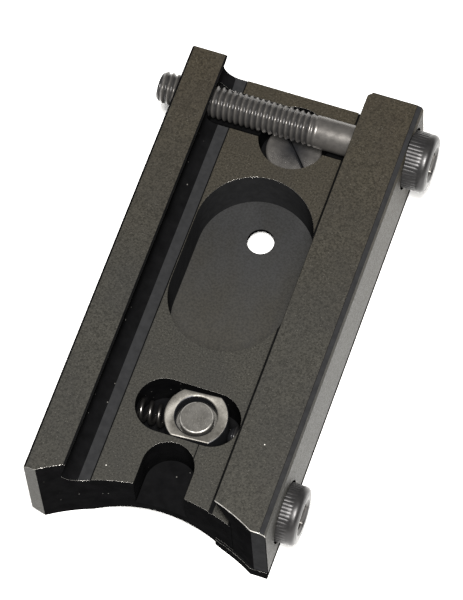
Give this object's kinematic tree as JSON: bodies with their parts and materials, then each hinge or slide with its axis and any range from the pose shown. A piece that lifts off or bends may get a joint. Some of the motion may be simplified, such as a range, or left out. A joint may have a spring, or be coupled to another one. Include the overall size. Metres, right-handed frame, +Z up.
{
  "type": "rail clamp mounting block",
  "caption": "Machined steel mounting block with a fixed jaw, a screw-drawn clamp jaw, an oval pocket, a spring-loaded stop block in a cross slot and a saddle-shaped underside.",
  "frame": {"origin": "bottom centre of the whole envelope, on the plane of the underside", "axes": "+X from the fixed jaw towards the clamp jaw and the screw heads, +Y along the rail from the concave front end to the plain end, +Z up from the saddle to the jaws"},
  "size_m": [0.0482, 0.0816, 0.0195],
  "materials": {
    "phosphated_steel": "fine-grained dark phosphate over machined steel, edges worn brighter",
    "black_oxide_screw": "black oxide, lightly oiled",
    "burnished_steel": "worn bare steel, brownish, satin",
    "spring_steel": "bright drawn wire"
  },
  "bodies": {
    "base": {"base_block": "phosphated_steel", "fixing_screw": "black_oxide_screw", "return_spring": "spring_steel"},
    "jaw": {"clamp_jaw": "phosphated_steel"},
    "far_screw": {"far_clamp_screw": "black_oxide_screw"},
    "near_screw": {"near_clamp_screw": "black_oxide_screw"},
    "stop": {"stop_block": "burnished_steel", "stop_stud": "burnished_steel"},
    "stop_adjuster": {"stop_screw": "black_oxide_screw"}
  },
  "joints": [
    {"name": "jaw_slide", "type": "slide", "parent": "base", "child": "jaw", "axis": [1, 0, 0], "range_m": [0, 0.0025]},
    {"name": "far_screw_turn", "type": "hinge", "parent": "jaw", "child": "far_screw", "pos_m": [0.0181, 0.0337, 0.0135], "axis": [1, 0, 0], "range_deg": [0, 901]},
    {"name": "near_screw_turn", "type": "hinge", "parent": "jaw", "child": "near_screw", "pos_m": [0.01735, -0.0309, 0.0084], "axis": [1, 0, 0], "range_deg": [0, 901]},
    {"name": "stop_slide", "type": "slide", "parent": "base", "child": "stop", "axis": [1, 0, 0], "range_m": [-0.0015, 0.0015], "deforming": ["return_spring"]},
    {"name": "stop_screw_turn", "type": "hinge", "parent": "stop", "child": "stop_adjuster", "pos_m": [0.00702, -0.021, 0.0082], "axis": [1, 0, 0], "range_deg": [-772, 772]}
  ],
  "couplings": [
    {"joint": "far_screw_turn", "follows": "jaw_slide", "rad_per_m": 6283.2},
    {"joint": "near_screw_turn", "follows": "jaw_slide", "rad_per_m": 6283.2},
    {"joint": "stop_screw_turn", "follows": "stop_slide", "rad_per_m": 8976}
  ]
}
